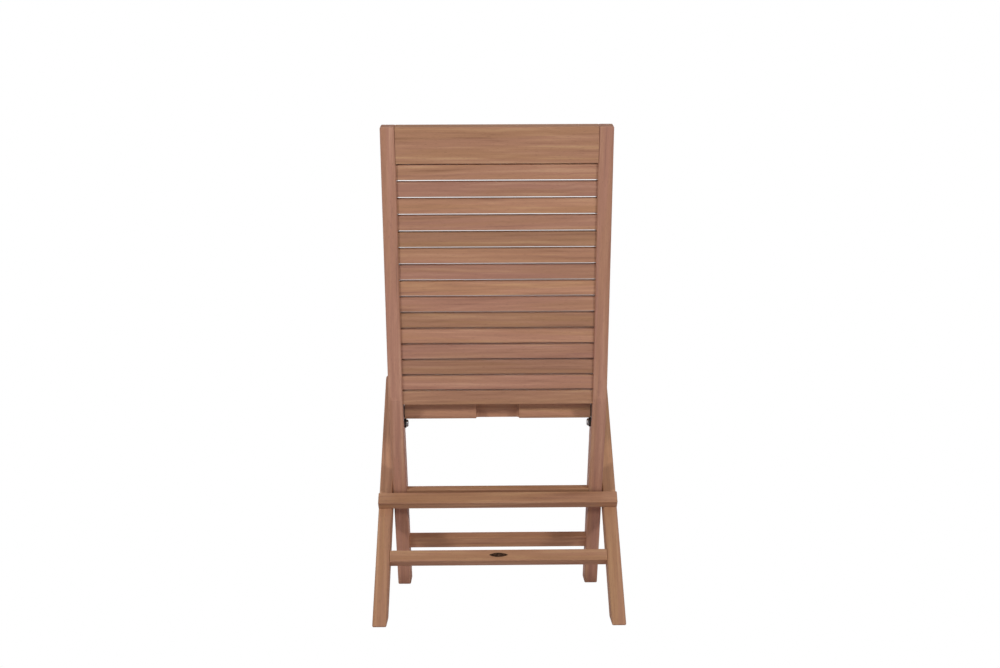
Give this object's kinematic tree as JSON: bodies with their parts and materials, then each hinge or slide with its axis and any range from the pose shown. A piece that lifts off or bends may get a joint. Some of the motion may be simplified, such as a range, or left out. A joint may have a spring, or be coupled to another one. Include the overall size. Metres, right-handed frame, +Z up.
{
  "type": "folding chair",
  "caption": "Armless folding garden chair in teak with a tall slatted back, a slatted seat with a hand-hold, and crossing leg frames.",
  "frame": {"origin": "on the floor, under the middle of the open chair", "axes": "+Z up, -Y the way the chair faces, X across the chair, with X = 0 the plane of symmetry"},
  "size_m": [0.5, 0.5215, 0.9767],
  "materials": {
    "teak_stiles": "satin",
    "teak_rear_legs": "satin",
    "teak_back": "satin",
    "teak_rails": "satin",
    "teak_seat": "satin",
    "beech_dowels": "satin",
    "bronze_plate": "satin",
    "black_nylon": "matt",
    "stainless_steel": "satin"
  },
  "bodies": {
    "long_frame": {"back_slat_01": "teak_back", "back_slat_02": "teak_back", "back_slat_03": "teak_back", "back_slat_04": "teak_back", "back_slat_05": "teak_back", "back_slat_06": "teak_back", "back_slat_07": "teak_back", "back_slat_08": "teak_back", "back_slat_09": "teak_back", "back_slat_10": "teak_back", "back_slat_11": "teak_back", "back_slat_12": "teak_back", "back_slat_13": "teak_back", "back_slat_14": "teak_back", "back_slat_15": "teak_back", "front_stretcher": "teak_rails", "mid_stretcher": "teak_rails", "pivot_bolts": "stainless_steel", "pivot_nut_washers": "stainless_steel", "pivot_nuts": "stainless_steel", "pivot_spacer_washers": "stainless_steel", "seat_stop_bushes": "black_nylon", "seat_stop_studs": "stainless_steel", "slide_plate_left": "stainless_steel", "slide_plate_right": "stainless_steel", "slide_plate_screws": "stainless_steel", "stile_left": "teak_stiles", "stile_right": "teak_stiles", "top_rail": "teak_back"},
    "rear_leg_frame": {"lower_rear_rail": "teak_rails", "name_plate": "bronze_plate", "rear_leg_left": "teak_rear_legs", "rear_leg_right": "teak_rear_legs", "seat_pivot_rod": "stainless_steel", "seat_rod_caps": "stainless_steel", "seat_rod_spacers": "stainless_steel", "stop_bar": "teak_rails", "stop_bar_dowels": "beech_dowels"},
    "seat": {"seat_centre_rail": "teak_seat", "seat_front_rail": "teak_seat", "seat_rear_rail": "teak_seat", "seat_side_rail_left": "teak_seat", "seat_side_rail_right": "teak_seat", "seat_slat_01": "teak_seat", "seat_slat_02": "teak_seat", "seat_slat_03": "teak_seat", "seat_slat_04": "teak_seat", "seat_slat_05": "teak_seat", "seat_slat_06": "teak_seat", "seat_slat_07": "teak_seat", "seat_slat_08": "teak_seat", "seat_slat_09": "teak_seat", "slide_pin_washers": "black_nylon", "slide_pins": "stainless_steel"}
  },
  "joints": [
    {"name": "main_fold", "type": "hinge", "parent": "long_frame", "child": "rear_leg_frame", "pos_m": [0, -0.0295, 0.214], "axis": [-1, 0, 0], "range_deg": [0, 62]},
    {"name": "seat_fold", "type": "hinge", "parent": "rear_leg_frame", "child": "seat", "pos_m": [0, -0.209, 0.397], "axis": [1, 0, 0], "range_deg": [0, 128.9]}
  ],
  "couplings": [
    {"joint": "seat_fold", "follows": "main_fold", "ratio": 2.079}
  ]
}
